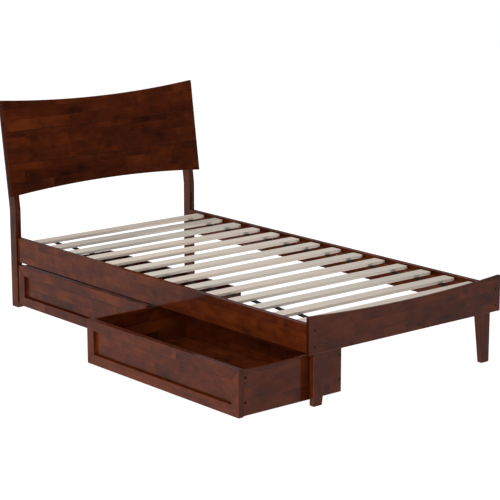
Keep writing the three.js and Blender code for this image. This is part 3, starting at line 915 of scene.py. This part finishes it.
class Wheel(Recipe):
    """A moulded wheel: tyre, hub, web and radial ribs, turned so that its axle lies along Y."""

    overlap: float = 1.0 * MM
    rib_thickness: float = 1.4 * MM
    rib_width: float = 0.7

    def __init__(self, material: bpy.types.Material) -> None:
        """Builds the tree."""
        super().__init__(
            "Drawer wheel",
            {
                "Middle": (0.0, 0.0, 0.0),
                "Radius": 0.015,
                "Width": 0.014,
                "Rim": 0.003,
                "Hub": 0.006,
                "Bore": 0.0034,
                "Web": 0.003,
                "Ribs": 8,
                "Rounding": 0.0011,
            },
        )
        add = self.add
        inner = self.math("SUBTRACT", "Radius", "Rim")
        web = (self.math("SUBTRACT", "Hub", self.overlap), self.math("ADD", inner, self.overlap))
        rings = [
            self._ring(inner, "Radius", "Width", "Rounding"),
            self._ring("Bore", "Hub", "Width", 0.0005),
            self._ring(*web, "Web", 0.0003),
        ]
        gap = self.math("SUBTRACT", inner, "Hub")
        long, wide = self.math("ADD", gap, self.overlap), self.math("MULTIPLY", "Width", self.rib_width)
        box = {"Size": self.point(long, self.rib_thickness, wide)}
        rib = add("GeometryNodeMeshCube", box).outputs["Mesh"]
        out = self.shifted(rib, self.math("MULTIPLY_ADD", gap, 0.5, "Hub"), 0.0, 0.0)
        spots = add("GeometryNodeMeshLine", {"Count": self.size("Ribs"), "Offset": (0.0, 0.0, 0.0)})
        part = self.math("DIVIDE", math.tau, "Ribs")
        turn = self.point(0.0, 0.0, self.math("MULTIPLY", add("GeometryNodeInputIndex").outputs[0], part))
        ribs = add("GeometryNodeInstanceOnPoints", {"Points": spots, "Instance": out, "Rotation": turn})
        whole = add("GeometryNodeJoinGeometry", {"Geometry": [*rings, ribs]})
        stand = {"Geometry": whole, "Translation": self.size("Middle"), "Rotation": (math.pi / 2, 0.0, 0.0)}
        self.close(add("GeometryNodeTransform", stand), material)

    def _ring(self, inside: Any, outside: Any, width: Any, rounding: Any) -> bpy.types.Node:
        """Gives a ring of a rounded section about Z.

        Args:
            inside: Its inner radius.
            outside: Its outer radius.
            width: Its length along the axle.
            rounding: The radius of the section's corners.

        Returns:
            The node whose output is the ring.
        """
        middle = self.math("MULTIPLY", self.math("ADD", inside, outside), 0.5)
        section = self.rounded(self.math("SUBTRACT", outside, inside), width, rounding)
        circle = self.add("GeometryNodeCurvePrimitiveCircle", {"Resolution": 48, "Radius": middle})
        return self.add("GeometryNodeCurveToMesh", {"Curve": circle, "Profile Curve": section})


# ---- Sub-assemblies -----------------------------------------------------------------------------------


@dataclass
class HeadEnd:
    """The two dog-legged posts and the three planks between them."""

    shop: Shop
    joiner: Joiner
    rake: float = math.radians(8.4)
    post_depth: float = 48 * MM
    bend: float = 468 * MM
    rise: float = 62 * MM
    plank: float = 448 / 3 * MM
    plank_ease: float = 2.0 * MM
    post_ease: float = 2.2 * MM

    def build(self) -> None:
        """Makes the planks, the posts and the bolts at the back."""
        up = Vector((0, math.sin(self.rake), math.cos(self.rake)))
        # The eased edges where the planks meet get painted shade: a dark groove between planks.
        for level, shaded_seams in (("lower", (up,)), ("middle", (up, -up)), ("upper", (-up,))):
            node = f"headboard_plank_{level}"
            self.joiner.board(f"{level}_plank", node, ALONG_X, up, self.plank_ease, shaded_seams=shaded_seams)
        for hand in HANDS:
            self.joiner.board(f"post_{hand}", f"head_post_{hand}", ALONG_Z, ALONG_X, self.post_ease)
        bolts = Fasteners(Drive.HEXAGON, self.shop.black_steel)
        bolts.fit("post_bolts", "bed", self._bolt_places(up), Radius=6.5, Crown=2.6, Seat=0.8, Recess=2.9)

    def _bolt_places(self, up: Vector) -> list[tuple[Vector, Vector]]:
        """Gives a place on the back of each post for every plank's bolt.

        Args:
            up: The direction up along the raked part of a post.

        Returns:
            Each place with the direction it faces.
        """
        back = Vector((0, math.cos(self.rake), -math.sin(self.rake)))
        sites = []
        for hand in HANDS:
            low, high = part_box(f"head_post_{hand}")
            corner = Vector(((low.x + high.x) / 2, low.y, self.bend)) + back * self.post_depth
            for index in range(3):
                sites.append((corner + up * (self.rise + (index + 0.5) * self.plank), back))
        return sites


@dataclass
class FootEnd:
    """The footboard, its legs, and the bolts that draw the rails up to it."""

    shop: Shop
    joiner: Joiner
    board_ease: float = 2.4 * MM
    leg_ease: float = 2.0 * MM
    bolt_heights: tuple[float, float] = (248 * MM, 315 * MM)
    leg_bolt_heights: tuple[float, float] = (238 * MM, 272 * MM)
    bore_radius: float = 4.4 * MM
    bore_depth: float = 2.4 * MM

    def build(self) -> None:
        """Makes the footboard, the legs and the bolts."""
        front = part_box("footboard")[0].y
        places = tuple(Vector((x, front, z)) for x in self._rail_middles() for z in self.bolt_heights)
        bores = Drilling(places, -ALONG_Y, self.bore_radius, self.bore_depth)
        self.joiner.board("foot_board", "footboard", ALONG_X, ALONG_Z, self.board_ease, [bores])
        for hand in HANDS:
            self.joiner.board(f"leg_{hand}", f"foot_leg_{hand}", ALONG_Z, ALONG_X, self.leg_ease)
        bolts = Fasteners(Drive.HEXAGON, self.shop.black_steel)
        sunk = [(place + ALONG_Y * self.bore_depth, -ALONG_Y) for place in places]
        bolts.fit("foot_bolts", "bed", sunk, Radius=3.6, Crown=0.9, Seat=0.6, Recess=1.9)
        bolts.fit("leg_bolts", "bed", self._leg_places(), Radius=5.5, Crown=2.2, Seat=0.5, Recess=2.5)

    def _rail_middles(self) -> list[float]:
        """Gives the middle of each rail's thickness."""
        return [sum(corner.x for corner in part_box(f"side_rail_{hand}")) / 2 for hand in HANDS]

    def _leg_places(self) -> list[tuple[Vector, Vector]]:
        """Gives two places on the back of each leg, clear of the ledger."""
        sites = []
        for hand in HANDS:
            low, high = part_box(f"foot_leg_{hand}")
            middle = (low.x + high.x) / 2
            sites += [(Vector((middle, high.y, height)), ALONG_Y) for height in self.leg_bolt_heights]
        return sites


@dataclass
class Sides:
    """The side rails with their hook plates, the ledgers and the screws that hold them."""

    shop: Shop
    joiner: Joiner
    rail_ease: float = 2.0 * MM
    plate_ease: float = 0.3 * MM
    nose: float = 4 * MM
    notch: float = 3 * MM
    hook_starts: tuple[float, float] = (0.06, 0.56)
    screw_spacing: float = 0.24

    def build(self) -> None:
        """Makes the rails, plates, ledgers and screws."""
        for hand in HANDS:
            self.joiner.board(f"rail_{hand}", f"side_rail_{hand}", ALONG_Y, ALONG_Z, self.rail_ease)
            self.joiner.board(f"ledger_{hand}", f"slat_ledger_{hand}", ALONG_Y, ALONG_Z)
            self._hook(hand)
        screws = Fasteners(Drive.CROSS, self.shop.zinc)
        screws.fit("ledger_screws", "bed", self._screw_places(), Radius=3.8, Crown=0.7, Seat=0.4)

    def _hook(self, hand: str) -> None:
        """Makes one pressed plate with two downward hooks, inside the box of its node."""
        node = f"hook_plate_{hand}"
        low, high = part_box(node)
        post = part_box("head_post_left")[0].y
        tall, reach = high.z - low.z, high.y - post
        outline = [(low.y, low.z), (post, low.z)]
        for start in self.hook_starts:
            foot = low.z + start * tall
            throat = foot + 0.12 * tall
            outline += [
                (post, throat),
                (post + self.notch, throat),
                (post + self.notch, foot),
                (post + self.notch + self.nose, foot),
                (high.y, foot + 0.1 * tall),
                (high.y, throat + 0.2 * tall),
                (high.y - reach / 3, throat + 0.24 * tall),
                (post, throat + 0.24 * tall),
            ]
        outline += [(post, high.z), (low.y, high.z)]
        shape = bmesh.new()
        face = shape.faces.new([shape.verts.new((low.x, y, z)) for y, z in outline])
        grown = bmesh.ops.extrude_face_region(shape, geom=[face])["geom"]
        moved = [item for item in grown if isinstance(item, bmesh.types.BMVert)]
        bmesh.ops.translate(shape, verts=moved, vec=(high.x - low.x, 0, 0))
        bmesh.ops.recalc_face_normals(shape, faces=shape.faces)
        sharp = [edge for edge in shape.edges if edge.calc_face_angle(0.0) > math.radians(60)]
        bmesh.ops.bevel(
            shape, geom=sharp, offset=self.plate_ease, segments=2, affect="EDGES", clamp_overlap=True
        )
        plate = solid(f"hooks_{hand}", shape)
        plate.data.materials.append(self.shop.zinc)
        soften(plate)
        hand_over(plate, "bed", Slot.STEEL, node)

    def _screw_places(self) -> list[tuple[Vector, Vector]]:
        """Gives a row of places along the inner face of each ledger."""
        sites = []
        for hand, inwards in zip(HANDS, (ALONG_X, -ALONG_X)):
            low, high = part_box(f"slat_ledger_{hand}")
            face = high.x if hand == "left" else low.x
            middle = (low.z + high.z) / 2
            count = int((high.y - low.y) / self.screw_spacing)
            step = (high.y - low.y) / (count + 1)
            sites += [(Vector((face, low.y + (index + 1) * step, middle)), inwards) for index in range(count)]
        return sites


@dataclass
class Deck:
    """The slats, and the straps and staples under them."""

    shop: Shop
    count: int = 14
    corner: float = 7 * MM
    ease: float = 1.4 * MM
    sag: float = 3.0 * MM
    staple_spread: float = 14 * MM

    def build(self) -> None:
        """Makes the slats, straps and staples."""
        names = [f"slat_{index + 1:02d}" for index in range(self.count)]
        low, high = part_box(names[0])
        size, first = high - low, (low + high) / 2
        last = sum(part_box(names[-1]), Vector()) / 2
        pitch = (first.y - last.y) / (self.count - 1)
        slats = Slats(self.shop.slat_wood).run(
            "slats",
            Length=size.x,
            Width=size.y,
            Thickness=size.z,
            Corner=self.corner,
            Count=self.count,
            Pitch=pitch,
            First_Middle=(first.x, first.y, low.z),
        )
        eased = slats.modifiers.new("Eased", "BEVEL")
        eased.width, eased.segments, eased.angle_limit = self.ease, 2, math.radians(50)
        settle(slats)
        soften(slats)
        hand_over(slats, "bed", Slot.SLAT, *names)

        tacks = []
        weave = Strap(self.shop.webbing)
        for hand in HANDS:
            node = f"slat_strap_{hand}"
            low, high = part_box(node)
            middle = (low + high) / 2
            strap = weave.run(
                f"strap_{hand}",
                Start=(middle.x, low.y, middle.z),
                Length=high.y - low.y,
                Width=high.x - low.x,
                Thickness=high.z - low.z,
                Sag=self.sag,
                Pitch=pitch,
                Lead=last.y - low.y,
            )
            strap.data.shade_smooth()
            hand_over(strap, "bed", Slot.WEBBING, node)
            for index in range(self.count):
                for side in (-self.staple_spread, self.staple_spread):
                    tacks.append((Vector((middle.x, first.y - index * pitch + side, low.z)), ALONG_Z))
        staples = Staples(self.shop.zinc).run("strap_staples", tacks)
        hand_over(staples, "bed", Slot.STEEL)


@dataclass
class Drawer:
    """One drawer: a mitred front, a screwed box, runners and four wheels."""

    shop: Shop
    joiner: Joiner
    prefix: str
    frame_ease: float = 1.5 * MM
    wall_ease: float = 1.2 * MM
    screw_heights: tuple[float, float] = (72 * MM, 172 * MM)
    screw_setback: float = 8.0 * MM
    bore_radius: float = 6.0 * MM
    bore_depth: float = 4.0 * MM

    def build(self) -> None:
        """Makes the front, the box, the screws and the running gear."""
        for member, along, across in (
            ("front_lower_rail", ALONG_Y, ALONG_Z),
            ("front_upper_rail", ALONG_Y, ALONG_Z),
            ("front_head_stile", ALONG_Z, ALONG_Y),
            ("front_foot_stile", ALONG_Z, ALONG_Y),
            ("front_panel", ALONG_Y, ALONG_Z),
            ("back", ALONG_Y, ALONG_Z),
            ("bottom", ALONG_Y, ALONG_X),
            ("foot_runner", ALONG_X, ALONG_Y),
            ("head_runner", ALONG_X, ALONG_Y),
        ):
            # The upper rail's lower eased edge gets painted shade: a dark line over the recessed panel.
            shaded_seams = (-ALONG_Z,) if member == "front_upper_rail" else ()
            self._member(member, along, across, shaded_seams=shaded_seams)
        screws = []
        for end, facing in (("foot", -ALONG_Y), ("head", ALONG_Y)):
            places = self._screw_places(end)
            bores = Drilling(tuple(places), facing, self.bore_radius, self.bore_depth)
            self._member(f"{end}_side", ALONG_X, ALONG_Z, [bores])
            screws += [(place - facing * self.bore_depth, facing) for place in places]
        heads = Fasteners(Drive.CROSS, self.shop.black_steel)
        heads.fit(f"{self.prefix}_screws", self.prefix, screws, Radius=5.0, Crown=0.7, Seat=0.5, Recess=2.6)
        wheel = Wheel(self.shop.nylon)
        for end in ("foot", "head"):
            for position in ("front", "back"):
                self._wheel(wheel, end, position)

    def _member(
        self,
        member: str,
        along: Vector,
        across: Vector,
        holes: Sequence[Drilling] = (),
        shaded_seams: Sequence[Vector] = (),
    ) -> None:
        """Makes one wooden member."""
        node = f"{self.prefix}_{member}"
        ease = self.frame_ease if member.startswith("front") else self.wall_ease
        self.joiner.board(f"{node}_board", node, along, across, ease, holes, shaded_seams, self.prefix)

    def _wheel(self, wheel: Wheel, end: str, position: str) -> None:
        """Makes one wheel, which is a body of its own."""
        node = f"{self.prefix}_{end}_wheel_{position}"
        low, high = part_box(node)
        sizes = {"Middle": tuple((low + high) / 2), "Radius": (high.z - low.z) / 2, "Width": high.y - low.y}
        piece = wheel.run(f"{self.prefix}_{end}_{position}_roller", **sizes)
        soften(piece)
        hand_over(piece, node, Slot.PLASTIC, node)

    def _screw_places(self, end: str) -> list[Vector]:
        """Gives the places of the screws through one side, into the front and into the back."""
        low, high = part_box(f"{self.prefix}_{end}_side")
        face = low.y if end == "foot" else high.y
        columns = (low.x + self.screw_setback, high.x - self.screw_setback)
        return [Vector((x, face, z)) for x in columns for z in self.screw_heights]


# ---- Studio -------------------------------------------------------------------------------------------


@dataclass
class Studio:
    """A plain pale floor that glows like a light table, three large soft lamps, and the camera."""

    floor_half: float = 40.0
    floor_glow: float = 1.0
    floor_colour: str = "#7C7B7A"
    sky: float = 0.05
    lamp_reach: float = 6.0
    lamp_target: Vector = field(default_factory=lambda: Vector((0, 0, 0.3)))

    def build(self) -> None:
        """Makes the camera, floor, lamps and sky light."""
        self._camera()
        self._floor()
        self._softbox("overhead", Vector((-0.05, 0.55, 0.83)), 3.6, 205.0)
        self._softbox("side", Vector((-0.85, -0.34, 0.42)), 3.5, 250.0)
        self._softbox("rim", Vector((0.63, 0.75, 0.22)), 4.0, 22.0)
        world = bpy.data.worlds.new("studio")
        world.use_nodes = True
        back = world.node_tree.nodes["Background"]
        back.inputs["Color"].default_value = (1.0, 1.0, 1.0, 1.0)
        back.inputs["Strength"].default_value = self.sky
        bpy.context.scene.world = world
        bpy.context.scene.view_settings.view_transform = "Standard"

    def _softbox(self, name: str, away: Vector, size: float, power: float) -> None:
        """Hangs a square lamp that shines at the bed.

        Args:
            name: The lamp's name.
            away: The direction from the bed to the lamp.
            size: The length of its side.
            power: Its power in watts.
        """
        lamp = bpy.data.lights.new(name, "AREA")
        lamp.shape, lamp.size, lamp.energy = "SQUARE", size, power
        holder = bpy.data.objects.new(name, lamp)
        bpy.context.scene.collection.objects.link(holder)
        holder.visible_camera = False
        holder.location = away.normalized() * self.lamp_reach + self.lamp_target
        holder.rotation_mode = "QUATERNION"
        holder.rotation_quaternion = away.to_track_quat("Z", "Y")

    def _camera(self) -> None:
        """Places the camera."""
        data = bpy.data.cameras.new("eye")
        data.lens = EYE_LENS_MM
        data.clip_end = 200.0
        level = math.cos(EYE_TILT)
        ahead = Vector((-math.sin(EYE_AZIMUTH) * level, math.cos(EYE_AZIMUTH) * level, -math.sin(EYE_TILT)))
        eye = bpy.data.objects.new("eye", data)
        bpy.context.scene.collection.objects.link(eye)
        eye.location = EYE_PLACE
        eye.rotation_mode = "QUATERNION"
        eye.rotation_quaternion = ahead.to_track_quat("-Z", "Y")
        bpy.context.scene.camera = eye

    def _floor(self) -> None:
        """Lays the floor."""
        half = self.floor_half
        mesh = bpy.data.meshes.new("floor")
        corners = [(-half, -half, 0), (half, -half, 0), (half, half, 0), (-half, half, 0)]
        mesh.from_pydata(corners, [], [(0, 1, 2, 3)])
        sweep = Finish("pale_sweep").dress(
            Base_Color=linear(self.floor_colour),
            Roughness=0.9,
            Specular_IOR_Level=0.1,
            Emission_Color=(1.0, 1.0, 1.0, 1.0),
            Emission_Strength=self.floor_glow,
        )
        mesh.materials.append(sweep)
        placed("floor", mesh)


def main() -> None:
    """Builds the studio and every sub-assembly, in order."""
    logging.basicConfig(level=logging.INFO, format="%(message)s", stream=sys.stdout)
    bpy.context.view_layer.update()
    Studio().build()
    shop = Shop()
    joiner = Joiner(shop.walnut)
    HeadEnd(shop, joiner).build()
    FootEnd(shop, joiner).build()
    Sides(shop, joiner).build()
    Deck(shop).build()
    for prefix in ("head_drawer", "foot_drawer"):
        Drawer(shop, joiner, prefix).build()


if __name__ == "__main__":
    main()
